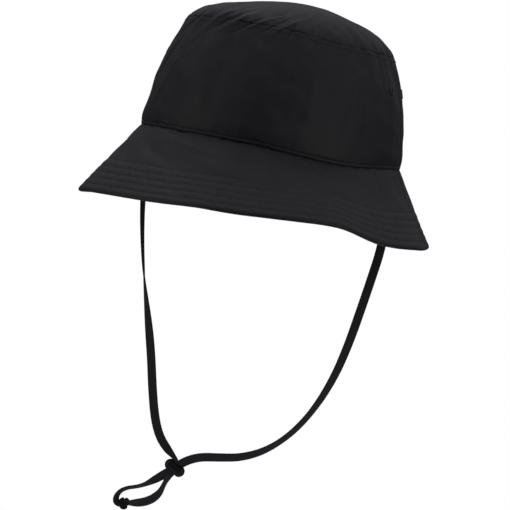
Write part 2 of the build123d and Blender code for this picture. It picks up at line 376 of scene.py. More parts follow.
def cloth_from_grid(name, outer, normals, thickness, slot, uv, wrap=False, closed_top=False, skip=None):
    """A closed sheet of cloth with its outer face on a grid of points.

    skip marks quads that are left out, as a hole. closed_top joins the first row in a fan, as on a dome.
    """
    rows, columns = outer.shape[:2]
    inner = outer - normals * thickness
    count = rows * columns
    vertices = np.concatenate([outer.reshape(-1, 3), inner.reshape(-1, 3)])
    faces_out = grid_faces(rows, columns, wrap, flip=True)
    faces_in = grid_faces(rows, columns, wrap, start=count)
    kept = np.ones(len(faces_out), bool) if skip is None else ~skip.ravel()
    faces = faces_out[kept].tolist() + faces_in[kept].tolist()
    faces += rim_faces(faces_out[kept], count)
    coordinates = np.concatenate([uv.reshape(-1, 2)] * 2)
    if closed_top:
        faces, vertices, coordinates = close_top(faces, vertices, coordinates, columns, count)
    return add_mesh(name, vertices, faces, slot, "hat", coordinates)


def rim_faces(quads, count):
    """Quads that join the outer face to the inner one along every open edge."""
    edges = np.concatenate([quads[:, [0, 1]], quads[:, [1, 2]], quads[:, [2, 3]], quads[:, [3, 0]]])
    ordered = np.sort(edges, axis=1)
    _, first, uses = np.unique(ordered, axis=0, return_index=True, return_counts=True)
    open_edges = edges[first[uses == 1]]
    a, b = open_edges[:, 0], open_edges[:, 1]
    return np.stack([b, a, a + count, b + count], axis=1).tolist()


def close_top(faces, vertices, coordinates, columns, count):
    """Replaces the rim at a dome's middle with one point on each face."""
    outer, inner = range(columns), range(count, count + columns)

    def on_rim(face):
        return sum(v in outer for v in face) == 2 and sum(v in inner for v in face) == 2

    faces = [face for face in faces if not on_rim(face)]

    def with_middles(values):
        return np.concatenate([values, [values[:columns].mean(axis=0), values[inner].mean(axis=0)]])

    vertices, coordinates = with_middles(vertices), with_middles(coordinates)
    outer_middle, inner_middle = len(vertices) - 2, len(vertices) - 1
    for column in range(columns):
        after = (column + 1) % columns
        faces.append([outer_middle, column, after])
        faces.append([inner_middle, count + after, count + column])
    return faces, vertices, coordinates


def recalculate(piece):
    """Merges doubled points and turns all faces outwards."""
    work = bmesh.new()
    work.from_mesh(piece.data)
    bmesh.ops.remove_doubles(work, verts=work.verts, dist=0.01 * MM)
    bmesh.ops.recalc_face_normals(work, faces=work.faces)
    work.to_mesh(piece.data)
    work.free()


def apply_modifiers(piece):
    """Replaces a piece's mesh with what its modifiers make of it."""
    bpy.context.view_layer.update()
    result = bpy.data.meshes.new_from_object(piece.evaluated_get(bpy.context.evaluated_depsgraph_get()))
    piece.modifiers.clear()
    piece.data = result


# ---- The crown's form ----


def bump_at(x, width):
    """A smooth ridge one unit high at x = 0."""
    return np.exp(-((x / width) ** 2))


def turn_from(angle, place):
    """How far an angle is from a place round the hat, from half a turn back to half a turn on."""
    return (angle - place + pi) % (2 * pi) - pi


def by_angle(table, angle, column=1):
    """Reads a column of a table round the hat as a smooth closed curve."""
    steps_per_degree, reach = 2, 14
    places, values = (np.array(list(zip(*table))[index], float) for index in (0, column))
    fine = np.linspace(-180, 180, 360 * steps_per_degree + 1)
    rough = np.interp(fine, places, values)[:-1]
    window = np.hanning(2 * reach + 1)
    wrapped = np.concatenate([rough[-reach:], rough, rough[:reach]])
    smooth = np.convolve(wrapped, window / window.sum(), mode="valid")
    turned = (np.degrees(angle) + 180) % 360 - 180
    return np.interp(turned, fine, np.append(smooth, smooth[0]))


side_chord = hypot(BASE_RADIUS - TOP_RADIUS, TOP_HEIGHT)
side_lean = atan2(BASE_RADIUS - TOP_RADIUS, TOP_HEIGHT)
side_to_centre = sqrt(SIDE_ARC_RADIUS**2 - (side_chord / 2) ** 2)
side_centre_x = (BASE_RADIUS + TOP_RADIUS) / 2 - side_to_centre * cos(side_lean)
side_centre_z = TOP_HEIGHT / 2 - side_to_centre * sin(side_lean)


def side_radius(height):
    """The crown's half width at a height."""
    return side_centre_x + np.sqrt(SIDE_ARC_RADIUS**2 - (height - side_centre_z) ** 2)


def oval_points(angle, radius, height):
    """Points of the oval: angle 0 at the right ear, a quarter turn back at the front."""
    return np.stack([radius * np.cos(angle), radius * OVAL * np.sin(angle), height], axis=-1)


shoulder_tilt = asin(SHOULDER_START / CAP_ARC_RADIUS)
cap_centre_z = CAP_HEIGHT - CAP_ARC_RADIUS
shoulder_top = cap_centre_z + CAP_ARC_RADIUS * cos(shoulder_tilt)
shoulder_chord = hypot(TOP_RADIUS - SHOULDER_START, shoulder_top - TOP_HEIGHT)
shoulder_fall = atan2(shoulder_top - TOP_HEIGHT, TOP_RADIUS - SHOULDER_START)
shoulder_radius = shoulder_chord / (2 * sin(shoulder_fall - shoulder_tilt))
shoulder_turn = 2 * (shoulder_fall - shoulder_tilt)
shoulder_x = SHOULDER_START - shoulder_radius * sin(shoulder_tilt)
shoulder_z = shoulder_top - shoulder_radius * cos(shoulder_tilt)
cap_length = CAP_ARC_RADIUS * shoulder_tilt
tip_length = cap_length + shoulder_radius * shoulder_turn


def tip_section(distance):
    """(half width, height) of the tip at a distance from its middle, over the cloth."""
    on_cap = distance < cap_length
    cap_tilt = distance / CAP_ARC_RADIUS
    tilt = shoulder_tilt + (distance - cap_length) / shoulder_radius
    radius = np.where(on_cap, CAP_ARC_RADIUS * np.sin(cap_tilt), shoulder_x + shoulder_radius * np.sin(tilt))
    height = np.where(
        on_cap, cap_centre_z + CAP_ARC_RADIUS * np.cos(cap_tilt), shoulder_z + shoulder_radius * np.cos(tilt)
    )
    return radius, height


# How far the soft crown has sunk, in millimetres, by angle in degrees: at its tip seam, and at
# the shoulder above it
CROWN_DROPS = [
    (-180, 0.8, 3.5), (-150, 1.2, 3.5), (-125, 0.0, 2.8), (-100, 0.0, 1.0), (-80, -0.2, 0.5), (-62, 1.2, 0.6),
    (-48, 2.8, 0.8), (-30, 2.8, 1.4), (-8, 3.4, 2.2), (10, 3.2, 2.4), (40, 2.4, 2.4), (90, 0.8, 2.6),
    (140, 0.8, 3.1), (180, 0.8, 3.5),
]
SHOULDER_PLACE = 26 * MM  # above the tip seam
# How far the base seam waves up and down
SEAM_WAVE = [
    (-180, -0.6), (-150, -0.1), (-120, 1.1), (-100, 1.4), (-80, 1.0), (-64, -0.6), (-48, -2.1), (-34, -1.7),
    (-18, 0.0), (0, 1.0), (20, 0.8), (60, 0.0), (120, 0.5), (150, 0.0), (180, -0.6),
]


def sunk(points, angle, rise):
    """Lets points of the crown down where it has sunk. rise is counted from the tip seam."""
    at_seam = by_angle(CROWN_DROPS, angle) * MM * bump_at(rise, 24 * MM)
    spread = np.where(rise < SHOULDER_PLACE, 16, 26) * MM
    at_shoulder = by_angle(CROWN_DROPS, angle, 2) * MM * bump_at(rise - SHOULDER_PLACE, spread)
    in_middle = 0.7 * MM * (1 - bump_at(np.maximum(rise, 0), 30 * MM))
    wave = by_angle(SEAM_WAVE, angle) * MM * bump_at(rise + TOP_HEIGHT, 30 * MM)
    return points + (wave - at_seam - at_shoulder - in_middle)[..., None] * np.array([0, 0, 1])


def side_points(angle, height):
    """Points of the crown's side, without its relief."""
    return sunk(oval_points(angle, side_radius(height), height), angle, height - TOP_HEIGHT)


def tip_points(angle, distance):
    """Points of the tip at a distance from its middle, without its relief."""
    radius, height = tip_section(distance)
    return sunk(oval_points(angle, radius, height), angle, tip_length - distance)


# ---- Folds and puckers ----


def drift(x, y, seed, waves=9, size=1.0):
    """Smooth broad unevenness, from -1 to 1 or so. size is the length of the shortest wave."""
    draw = np.random.default_rng(seed)
    total = np.zeros(np.broadcast(x, y).shape)
    for _ in range(waves):
        turn, phase = draw.uniform(0, 2 * pi, 2)
        length = size * draw.uniform(1, 3)
        total += np.sin(2 * pi * (x * cos(turn) + y * sin(turn)) / length + phase)
    return total / sqrt(waves)


def crease(x, width):
    """A sharper ridge than bump_at, as folded cloth has."""
    return 1 / np.cosh(x / width * 1.8) ** 1.3


# The strong gathers of the tip seam: angle round the crown in degrees; depth, width, length down
# the side and length up the tip in millimetres; and how far each leans over towards the right ear
GATHERS = [
    (-152, -0.6, 2.4, 10, 6, 0.4), (-143, 0.5, 2.2, 12, 6, 0.9), (-137, -1.3, 1.7, 13, 6, 1.0),
    (-131, 0.6, 2.2, 12, 7, 0.9), (-124, -0.6, 2.0, 9, 5, 0.8), (-118, 1.0, 2.2, 5, 9, 1.0),
    (-111.5, -2.0, 1.8, 6, 8, 1.2), (-105, 0.9, 2.4, 6, 8, 1.2), (-97, -1.2, 1.4, 6, 6, 1.3),
    (-93, 0.8, 1.3, 4, 9, 1.5), (-85, -0.8, 1.3, 5, 6, 1.2), (-80, 0.8, 1.3, 4, 10, 1.2),
    (-75, -1.2, 1.0, 8, 4, 0.3), (-72, 0.5, 1.0, 6, 4, 0.2), (-64, -0.7, 1.2, 6, 4, 0.2),
    (-58, -0.5, 1.0, 7, 4, 0.2), (-50, -0.4, 1.0, 8, 4, 0.0), (-38, -0.7, 1.8, 16, 6, 0.0),
    (-29, 0.5, 2.2, 24, 6, -0.1), (-22, -0.9, 2.0, 26, 7, -0.1), (-14, 0.7, 2.4, 24, 8, -0.1),
    (-6, -0.9, 2.0, 22, 8, -0.1), (4, 0.6, 2.2, 18, 8, 0.0), (13, -0.8, 2.0, 20, 7, 0.1),
]


def seam_gathers(angle, away, on_tip, seed=5):
    """Puckers that start at the tip seam. away is the distance from the seam over the cloth."""
    draw = np.random.default_rng(seed)
    reach = TOP_RADIUS * (1 + OVAL) / 2
    gathers = list(GATHERS)
    for place in np.arange(-176, 184, 5.2):
        strength = 1.8 if place > 20 else 1
        depth = draw.uniform(0.12, 0.4) * draw.choice((-1, 1)) * strength
        down, up = draw.uniform(4, 12, 2)
        width, lean = draw.uniform(1.2, 2.4), draw.uniform(-0.2, 1.0)
        gathers.append((place + draw.uniform(-1.5, 1.5), depth, width, down, up, lean))
    total = np.zeros(np.broadcast(angle, away).shape)
    for place, depth, width, down, up, lean in gathers:
        length = (up if on_tip else down) * MM
        sideways = turn_from(angle, radians(place)) * reach + away * lean * (-1 if on_tip else 1)
        fade = np.exp(-((away / length) ** 1.6))
        spread = width * MM * (1 + away / length * 0.6)
        total += depth * MM * fade * crease(sideways, spread)
    ladder = np.sin(angle * 205 + 4 * np.sin(angle * 7)) * np.exp(-away / (4 * MM))
    return total + 0.12 * MM * (1.2 + np.sin(angle * 5 - 2.4)) * ladder


def seam_tuck(angle, away):
    """How cloth dips into the tip seam, less towards the right ear, and puffs up beside it."""
    uneven = 0.4 + 0.5 * drift(angle * TOP_RADIUS, 0, seed=71, size=9 * MM)
    uneven = uneven * (1 - 0.6 * bump_at(turn_from(angle, -radians(40)), radians(40)))
    return -0.2 * MM * uneven * bump_at(away, 0.8 * MM) + 0.15 * MM * bump_at(away - 5 * MM, 4 * MM)


def ear_seams(angle, reach, depth, behind, width):
    """The seams at the two ears, each a dip with a low ridge some way behind it, in millimetres."""
    total = 0
    for place in (0, pi):
        offset = turn_from(angle, place) * reach
        ridge = depth / 2 * MM * bump_at(offset - behind * MM, width * MM)
        total = total - depth * MM * bump_at(offset, 0.9 * MM) + ridge
    return total


def seam_puckers(way, away, depth, wave, slow_wave, fade):
    """Small close puckers along a seam, in millimetres. way is the distance along the seam."""
    waves = np.sin(way / (wave * MM) + 3 * np.sin(way / (slow_wave * MM)))
    return depth * MM * waves * np.exp(-away / (fade * MM))


# Long soft folds of the crown's side: angle in degrees, height, lean in degrees (towards the right
# ear going up), width, half length and depth, in millimetres
SIDE_FOLDS = [
    (-150, 48, 30, 4, 22, 0.7), (-142, 56, 32, 3, 20, -0.6), (-136, 40, 30, 5, 26, 0.5),
    (-128, 60, 30, 3, 14, -0.6), (-117, 40, 8, 10, 36, 0.9), (-104, 46, 5, 9, 34, -0.7),
    (-90, 22, -10, 5, 16, 0.4), (-84, 50, 4, 9, 30, 0.6), (-72, 40, 0, 5, 22, -0.35),
    (-62, 34, 6, 6, 24, 0.45), (-52, 50, 20, 4, 18, -0.4), (-46, 30, 15, 3, 12, 0.5),
    (-39, 56, 4, 3.2, 18, 0.6), (-33, 50, 3, 2.6, 20, -0.6), (-27, 56, 2, 2.6, 18, 0.6),
    (-20, 58, 0, 2.4, 14, -0.5), (-12, 30, 4, 5, 22, 0.4), (20, 40, 5, 6, 24, 0.5),
    (45, 50, -8, 5, 20, -0.5), (75, 40, 5, 8, 30, 0.6), (105, 50, 0, 6, 24, -0.5),
    (135, 40, 6, 8, 26, 0.6), (165, 52, -6, 5, 20, 0.5),
]


def folds_on(table, angle, place, reach):
    """Soft folds over a surface, where reach is the way round the hat for each radian."""
    total = 0
    for turn, middle, lean, width, length, depth in table:
        offset = turn_from(angle, radians(turn)) * reach
        up = place - middle * MM
        along = up * cos(radians(lean)) + offset * sin(radians(lean))
        beside = offset * cos(radians(lean)) - up * sin(radians(lean))
        total = total + depth * MM * bump_at(along, length * MM) * crease(beside, width * MM)
    return total


def side_relief(angle, height):
    """How far the crown's side stands out of its smooth form."""
    way = angle * ROUND_BASE
    below_top = TOP_HEIGHT - height
    slanting = drift(way + height * 0.7, height, seed=3, size=24 * MM)
    broad = drift(way, height, seed=11, size=60 * MM)
    fine = drift(way + height * 0.5, height * 0.6, seed=21, size=9 * MM)
    base = -TUCK * bump_at(height, 0.9 * MM) + 0.6 * MM * bump_at(height - 9 * MM, 6 * MM)
    row = -0.4 * MM * bump_at(height - TOPSTITCH_HEIGHT, 0.6 * MM)
    middle = np.sin(pi * np.clip(height / TOP_HEIGHT, 0, 1))
    uneven = (0.22 * MM * slanting + 0.3 * MM * broad) * (0.25 + 0.75 * middle) + 0.06 * MM * fine
    return (
        uneven
        + folds_on(SIDE_FOLDS, angle, height, ROUND_BASE)
        + base
        + row
        + seam_puckers(way, height, 0.12, 1.35, 17, 6)
        + seam_tuck(angle, below_top)
        + seam_gathers(angle, below_top, on_tip=False)
        + ear_seams(angle, BASE_RADIUS * OVAL, 0.5, 3.5, 2.2)
        + settled("side", angle, height)
    )


def tip_relief(angle, distance, x, y):
    """How far the tip stands out of its smooth form."""
    inside = tip_length - distance
    broad = drift(x, y, seed=31, size=45 * MM)
    fine = drift(x, y, seed=37, size=9 * MM)
    middle = np.clip(distance / tip_length, 0, 1)
    return (
        0.55 * MM * broad * (1 - middle**6)
        + 0.06 * MM * fine
        + seam_tuck(angle, inside)
        + seam_gathers(angle, inside, on_tip=True) * np.clip(middle * 3 - 0.6, 0, 1)
        + settled("tip", angle, distance) * np.clip((distance - 15 * MM) / (30 * MM), 0, 1)
    )


# ---- The crown's cloth settles ----

SETTLE_SCALE = 10  # the cloth settles at ten times its size, where the solver works best
SETTLE_COLUMNS = 360
SETTLE_FRAMES = 14
PUCKER_GAIN = 2.6  # the coarse grid takes up part of the fullness without a pucker
PUCKER_LIMIT = 1.1 * MM
CLOTH_SETTINGS = {
    "quality": 6,
    "mass": 0.12,
    "air_damping": 2.0,
    "tension_stiffness": 20,
    "compression_stiffness": 20,
    "shear_stiffness": 8,
    "bending_stiffness": 1.0,
    "tension_damping": 8,
    "compression_damping": 8,
    "shear_damping": 8,
    "bending_damping": 1.0,
    "pin_stiffness": 1.0,
    "shrink_min": 0.0,
    "shrink_max": -0.08,
    "use_pressure": True,
    "uniform_pressure_force": 2.0,
}
settle_angle = np.linspace(0, 2 * pi, SETTLE_COLUMNS, endpoint=False) - pi
settle_distance = np.linspace(8 * MM, tip_length, 26)
settle_height = np.linspace(TOP_HEIGHT, 0, 34)
settle_fields = {
    "tip": (settle_distance, np.zeros((len(settle_distance), SETTLE_COLUMNS))),
    "side": (settle_height, np.zeros((len(settle_height), SETTLE_COLUMNS))),
}


def settled(part, angle, place):
    """How far the settled cloth stands out at an angle and a height, or a distance from the middle."""
    places, field = settle_fields[part]
    order = np.argsort(places)
    row = np.interp(place, places[order], np.arange(len(places))[order])
    column = ((angle + pi) / (2 * pi) * SETTLE_COLUMNS) % SETTLE_COLUMNS
    row_below, column_before = np.floor(row).astype(int), np.floor(column).astype(int) % SETTLE_COLUMNS
    row_above = np.minimum(row_below + 1, len(places) - 1)
    column_after = (column_before + 1) % SETTLE_COLUMNS
    down, on = row - row_below, column - np.floor(column)
    before = field[row_below, column_before] * (1 - down) + field[row_above, column_before] * down
    after = field[row_below, column_after] * (1 - down) + field[row_above, column_after] * down
    return before * (1 - on) + after * on


def smoothed(field, reach):
    """A field round the hat, averaged over a number of columns to each side and a row up and down."""
    window = np.hanning(2 * reach + 3)[1:-1]
    wrapped = np.concatenate([field[:, -reach:], field, field[:, :reach]], axis=1)
    across = np.stack([np.convolve(row, window / window.sum(), mode="valid") for row in wrapped])
    padded = np.concatenate([across[:1], across, across[-1:]])
    return padded[:-2] * 0.25 + padded[1:-1] * 0.5 + padded[2:] * 0.25


def crown_fullness():
    """How much too full the crown is cut, most near its seams, from 0 to 1."""
    from_seam = np.concatenate([tip_length - settle_distance, TOP_HEIGHT - settle_height[1:]])
    far_from_base = np.full(len(settle_distance), 1.0)
    from_base = np.concatenate([far_from_base, settle_height[1:]])
    share = np.exp(-from_seam / (16 * MM)) + 0.5 * np.exp(-from_base / (12 * MM)) + 0.12
    rows = np.arange(len(share))[:, None]
    return np.clip(share[:, None] * (1 + 0.35 * drift(rows, settle_angle[None] * 40, seed=81, size=30)), 0, 1)


def run_cloth(points, pinned_rows, fullness):
    """Runs the cloth simulation on a grid round the hat and returns where its points end up."""
    mesh = bpy.data.meshes.new("settling")
    faces = grid_faces(len(points), SETTLE_COLUMNS, True, flip=True).tolist()
    mesh.from_pydata((points * SETTLE_SCALE).reshape(-1, 3).tolist(), [], faces)
    cloth = bpy.data.objects.new("settling", mesh)
    bpy.context.scene.collection.objects.link(cloth)
    pinned = cloth.vertex_groups.new(name="pinned")
    for row in pinned_rows:
        pinned.add(list(range(row * SETTLE_COLUMNS, (row + 1) * SETTLE_COLUMNS)), 1.0, "REPLACE")
    full = cloth.vertex_groups.new(name="full")
    for index, weight in enumerate(fullness.ravel()):
        full.add([index], float(weight), "REPLACE")
    modifier = cloth.modifiers.new("cloth", "CLOTH")
    for key, value in CLOTH_SETTINGS.items():
        setattr(modifier.settings, key, value)
    modifier.settings.vertex_group_mass = "pinned"
    modifier.settings.vertex_group_shrink = "full"
    modifier.settings.effector_weights.gravity = 0.05
    modifier.collision_settings.use_collision = False
    modifier.point_cache.frame_start = 1
    modifier.point_cache.frame_end = SETTLE_FRAMES
    for frame_number in range(1, SETTLE_FRAMES + 1):
        bpy.context.scene.frame_set(frame_number)
    result = cloth.evaluated_get(bpy.context.evaluated_depsgraph_get()).to_mesh()
    moved = np.zeros(len(result.vertices) * 3)
    result.vertices.foreach_get("co", moved)
    bpy.data.objects.remove(cloth)
    bpy.context.scene.frame_set(1)
    return moved.reshape(points.shape) / SETTLE_SCALE


def settle_crown():
    """Sews a slightly too full crown to its two seams and lets it fall into its own puckers."""
    start = np.concatenate([
        tip_points(*np.meshgrid(settle_angle, settle_distance)),
        side_points(*np.meshgrid(settle_angle, settle_height[1:])),
    ])
    normals = outward_normals(start)
    rows, seam = len(start), len(settle_distance) - 1
    uneven = 0.15 * MM * drift(settle_angle[None] * 90, np.arange(rows)[:, None] * 2.5, seed=83, size=7)
    moved = run_cloth(start + normals * uneven[..., None], (0, seam, rows - 1), crown_fullness())
    out = ((moved - start) * normals).sum(axis=2)
    puckers = smoothed(out, 2) - smoothed(out, 24)
    out = np.tanh(puckers * PUCKER_GAIN / PUCKER_LIMIT) * PUCKER_LIMIT
    settle_fields["tip"] = (settle_distance, out[: seam + 1])
    settle_fields["side"] = (settle_height, out[seam:])


# ---- The crown's pieces ----

eyelet_low, eyelet_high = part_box("eyelet_right_front")
eyelet_centre = (eyelet_low + eyelet_high) / 2
EYELET_HEIGHT = eyelet_centre.z
EYELET_ANGLE = atan2(-eyelet_centre.y / OVAL, eyelet_centre.x)
EYELET_RADIUS = (eyelet_high.z - eyelet_low.z) / 2
EYELET_HOLE_RADIUS = 1.4 * MM
eyelet_places = {
    "eyelet_right_front": -EYELET_ANGLE,
    "eyelet_right_back": EYELET_ANGLE,
    "eyelet_left_back": pi - EYELET_ANGLE,
    "eyelet_left_front": EYELET_ANGLE - pi,
}


def side_heights():
    """Heights over the crown's side, closer together near its seams."""
    near_top, near_base = TOP_HEIGHT - 15 * MM, 6.5 * MM
    return np.concatenate([
        np.linspace(TOP_HEIGHT, near_top, 24)[:-1],
        np.linspace(near_top, near_base, 42)[:-1],
        np.linspace(near_base, 0.2 * MM, 20),
    ])


def side_grid(heights, depth, relief=side_relief):
    """A grid over the crown's side, from the top down: points, normals and cloth coordinates."""
    angle, height = np.meshgrid(around, heights)
    points = side_points(angle, height)
    points = points + outward_normals(points) * (relief(angle, height) - depth)[..., None]
    uv = np.stack([angle * ROUND_BASE, height], axis=-1)
    return points, outward_normals(points), uv


def halves(name, points, normals, uv, thickness, slot, skip=None):
    """Makes the front and back panels of a ring of cloth, which meet at the ears."""
    half = COLUMNS // 2
    for side, columns in (("front", np.arange(half + 1)), ("back", np.arange(half, COLUMNS + 1) % COLUMNS)):
        flat = uv[:, columns].copy()
        if side == "back":
            flat[:, -1, 0] = -flat[:, -1, 0]
        panel, out = points[:, columns], normals[:, columns]
        holes = None if skip is None else skip[:, columns[:-1]]
        piece = cloth_from_grid(f"{name}_{side}", panel, out, thickness, slot, flat, skip=holes)
        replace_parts(piece, f"{name}_{side}")


def eyelet_holes(points):
    """Marks the quads of the crown's side that an eyelet's ring covers."""
    middles = (points[:-1] + points[1:]) / 2
    middles = (middles + np.roll(middles, -1, axis=1)) / 2
    inside = np.zeros(middles.shape[:2], bool)
    for angle in eyelet_places.values():
        centre = np.array(side_spot(angle, EYELET_HEIGHT))
        inside |= np.linalg.norm(middles - centre, axis=2) < 2.2 * MM
    return inside


def make_crown():
    points, normals, uv = side_grid(side_heights(), 0)
    halves("crown", points, normals, uv, SHELL, "shell_fabric", skip=eyelet_holes(points))
    for name, angle in eyelet_places.items():
        make_eyelet(name, angle)
    angle, distance = np.meshgrid(around, np.linspace(DOME_HOLE, tip_length, 68))
    tip = tip_points(angle, distance)
    relief = tip_relief(angle, distance, tip[..., 0], tip[..., 1])
    make_tip("crown_tip", tip + outward_normals(tip) * relief[..., None], SHELL, "shell_fabric")


def make_tip(name, points, thickness, slot):
    normals, uv = outward_normals(points), points[..., :2]
    piece = cloth_from_grid(name, points, normals, thickness, slot, uv, wrap=True, closed_top=True)
    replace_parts(piece, name)


def make_lining():
    def gentle(angle, height):
        return 0.35 * MM * drift(angle * BASE_RADIUS, height, seed=41, size=30 * MM)

    points, normals, uv = side_grid(np.linspace(TOP_HEIGHT - 3 * MM, 1.5 * MM, 40), LINING_DEPTH, gentle)
    halves("crown_lining", points, normals, uv, LINING, "lining_fabric")
    tip = tip_points(*np.meshgrid(around[::2], np.linspace(DOME_HOLE, tip_length - 1.5 * MM, 34)))
    make_tip("tip_lining", tip - outward_normals(tip) * LINING_DEPTH, LINING, "lining_fabric")


def make_sweatband():
    def soft(angle, height):
        edge = bump_at(height - 3 * MM, 0.8 * MM) + bump_at(height - SWEATBAND_WIDTH + 1 * MM, 0.8 * MM)
        return 0.25 * MM * drift(angle * BASE_RADIUS, height, seed=43, size=24 * MM) + 0.2 * MM * edge

    points, normals, uv = side_grid(np.linspace(SWEATBAND_WIDTH, 0, 26) + 1.2 * MM, SWEATBAND_DEPTH, soft)
    piece = cloth_from_grid("sweatband", points, normals, SWEATBAND, "sweatband_fabric", uv, wrap=True)
    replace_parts(piece, "sweatband")


# ---- Stitches ----


def stitch_mesh(lines, pitch=STITCH_PITCH, length=STITCH, radius=THREAD_RADIUS, lift=0.12 * MM):
    """Vertices and faces of rows of stitches. Each line is (points, normals, closed)."""
    sides = 6
    along = np.array([-0.5, -0.3, 0, 0.3, 0.5])
    fat = np.array([0.35, 0.95, 1.0, 0.95, 0.35])
    high = np.array([-1.6, 0.0, 0.6, 0.0, -1.6]) * radius + lift
    ring = np.linspace(0, 2 * pi, sides, endpoint=False)[None, None, :, None]
    vertices, faces = [], []
    for points, normals, closed in lines:
        if closed:
            points = np.concatenate([points, points[:1]])
            normals = np.concatenate([normals, normals[:1]])
        steps = distances(points)
        count = int(steps[-1] / pitch)
        starts = (np.arange(count) + 0.5) * steps[-1] / count
        where = starts[:, None] + along[None, :] * length
        middle, up = read_along(where, steps, points), read_along(where, steps, normals)
        near = 0.1 * MM
        forward = unit(read_along(where + near, steps, points) - read_along(where - near, steps, points))
        across = unit(np.cross(forward, up))
        middle = middle + up * high[None, :, None]
        section = across[:, :, None] * np.cos(ring) + up[:, :, None] * np.sin(ring)
        tube = middle[:, :, None] + radius * fat[None, :, None, None] * section
        first = sum(len(v) for v in vertices)
        vertices.append(tube.reshape(-1, 3))
        for index in range(count):
            faces += tube_faces(len(along), sides, first + index * len(along) * sides)
    return np.concatenate(vertices), faces


def stitches(name, lines, finish="thread", **values):
    """Rows of stitches as one piece, in the place of a CAD node."""
    vertices, faces = stitch_mesh(lines, **values)
    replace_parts(add_mesh(name, vertices, faces, "thread", "hat", finish=finish), name)


def side_line(height):
    """A row of stitches round the crown's side at a height."""
    angle, level = np.meshgrid(around, height + np.array([0.5, 0, -0.5]) * MM)
    points = side_points(angle, level)
    points = points + outward_normals(points) * side_relief(angle, level)[..., None]
    return points[1], outward_normals(points)[1], True


def make_topstitching():
    # The crown's rows of stitches take the thread's darker copy, painted shade
    stitches("base_topstitch", [side_line(TOPSTITCH_HEIGHT)], "thread_painted_shade")
    tip_line = side_line(TOP_HEIGHT - 2.4 * MM)
    stitches("tip_topstitch", [tip_line], "thread_painted_shade", length=1.6 * MM, pitch=2.4 * MM)


def side_spot(angle, height):
    """A point of the crown's outer face."""
    angles, heights = np.meshgrid(angle + np.array([-1, 0, 1]) * 0.01, height + np.array([1, 0, -1]) * MM)
    points = side_points(angles, heights)
    normals = outward_normals(points, wrap=False)
    return Vector(points[1, 1] + normals[1, 1] * side_relief(angles, heights)[1, 1])


def make_eyelet(name, angle):
    """A sewn eyelet: close turns of thread round a small hole."""
    places = ((angle, EYELET_HEIGHT), (angle + 0.03, EYELET_HEIGHT), (angle, EYELET_HEIGHT + 3 * MM))
    spot, beside, over = (side_spot(*place) for place in places)
    right = (beside - spot).normalized()
    normal = right.cross(over - spot).normalized()
    up = normal.cross(right)
    turns, sides, thread_height = 30, 18, 0.75 * MM
    rings = turns * 6
    middle_radius = (EYELET_RADIUS + EYELET_HOLE_RADIUS) / 2
    half_width = (EYELET_RADIUS - EYELET_HOLE_RADIUS) / 2
    vertices = []
    for place in np.linspace(0, 2 * pi, rings, endpoint=False):
        swell = 0.82 + 0.18 * abs(sin(place * turns / 2))
        for slant in np.linspace(0, 2 * pi, sides, endpoint=False):
            radius = middle_radius + half_width * cos(slant) * (0.93 + 0.07 * swell)
            height = thread_height * sin(slant) * swell
            vertices.append(spot + (right * cos(place) + up * sin(place)) * radius + normal * height)
    faces = (grid_faces(rings + 1, sides, True) % (rings * sides))[:, ::-1].tolist()
    # The eyelet's turns take the thread's darker copy, painted shade
    piece = add_mesh(name, [list(v) for v in vertices], faces, "thread", "hat", finish="thread_painted_shade")
    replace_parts(piece, name)


# ---- The brim ----

# The brim's slope by angle in degrees: how far its edge hangs below the base seam, and how long
# the slope is in a straight line, in millimetres
BRIM_SLOPES = [
    (-180, 51.6, 60.4), (-165, 51.0, 61.2), (-150, 49.0, 60.8), (-135, 46.8, 60.0), (-120, 45.0, 59.5),
    (-105, 43.4, 59.5), (-92, 40.8, 59.5), (-84, 40.8, 59.5), (-72, 38.7, 59.5), (-60, 36.9, 59.5),
    (-54, 37.0, 59.5), (-47, 41.0, 59.5), (-40, 44.4, 59.5), (-30, 45.6, 59.0), (-18, 45.6, 58.4),
    (-6, 46.4, 57.2), (6, 46.6, 56.6), (18, 46.4, 56.6), (36, 44.6, 58.0), (62, 41.5, 59.5),
    (92, 41.5, 59.5), (120, 41.5, 59.5), (150, 46.5, 60.0), (180, 51.6, 60.4),
]
# How far the middle of the slope sags below a straight line, in millimetres, by angle
SLOPE_SAGS = [
    (-180, -0.7), (-150, -0.2), (-120, 0.4), (-90, 0.2), (-60, -0.8), (-30, 0.6), (0, 0.6), (60, 0.6),
    (120, 0.8), (150, 0.2), (180, -0.7),
]


def brim_way(along):
    """The way round the brim for each radian, at a distance down its slope."""
    return (BASE_RADIUS + along * BRIM_SPREAD) * (1 + OVAL) / 2


def brim_points(angle, along, lift):
    """Points of the brim: along down the slope from the base seam, lift above its upper face."""
    wave = by_angle(SEAM_WAVE, angle) * MM
    start = oval_points(angle, BASE_RADIUS - TUCK, wave + 0.3 * MM)
    chord = by_angle(BRIM_SLOPES, angle, 2) * MM
    drop = (by_angle(BRIM_SLOPES, angle) * MM + wave + 0.7 * MM) / chord
    reach = np.sqrt(1 - drop**2)
    flat = unit(np.stack([np.cos(angle), np.sin(angle) / OVAL, np.zeros_like(angle)], axis=-1))
    upright = np.zeros_like(flat)
    upright[..., 2] = 1
    slope = flat * reach[..., None] - upright * drop[..., None]
    normal = flat * drop[..., None] + upright * reach[..., None]
    share = np.clip(along / BRIM_WIDTH, 0, 1)
    sag = by_angle(SLOPE_SAGS, angle) * MM * np.sin(pi * share)
    broad = drift(angle * brim_way(along), along, seed=53, size=60 * MM)
    swing = broad * 0.5 * MM * np.sin(pi * np.clip(share * 0.9, 0, 1))
    stretch = (chord / BRIM_WIDTH)[..., None]
    return start + slope * stretch * along[..., None] + normal * (lift - sag + swing)[..., None]


def brim_normals(points, face=1):
    """Unit normals of a grid on the brim, upwards, or downwards where face is -1."""
    normals = grid_normals(points, wrap=True)
    return normals * face * (1 if normals[0, COLUMNS // 2, 2] > 0 else -1)


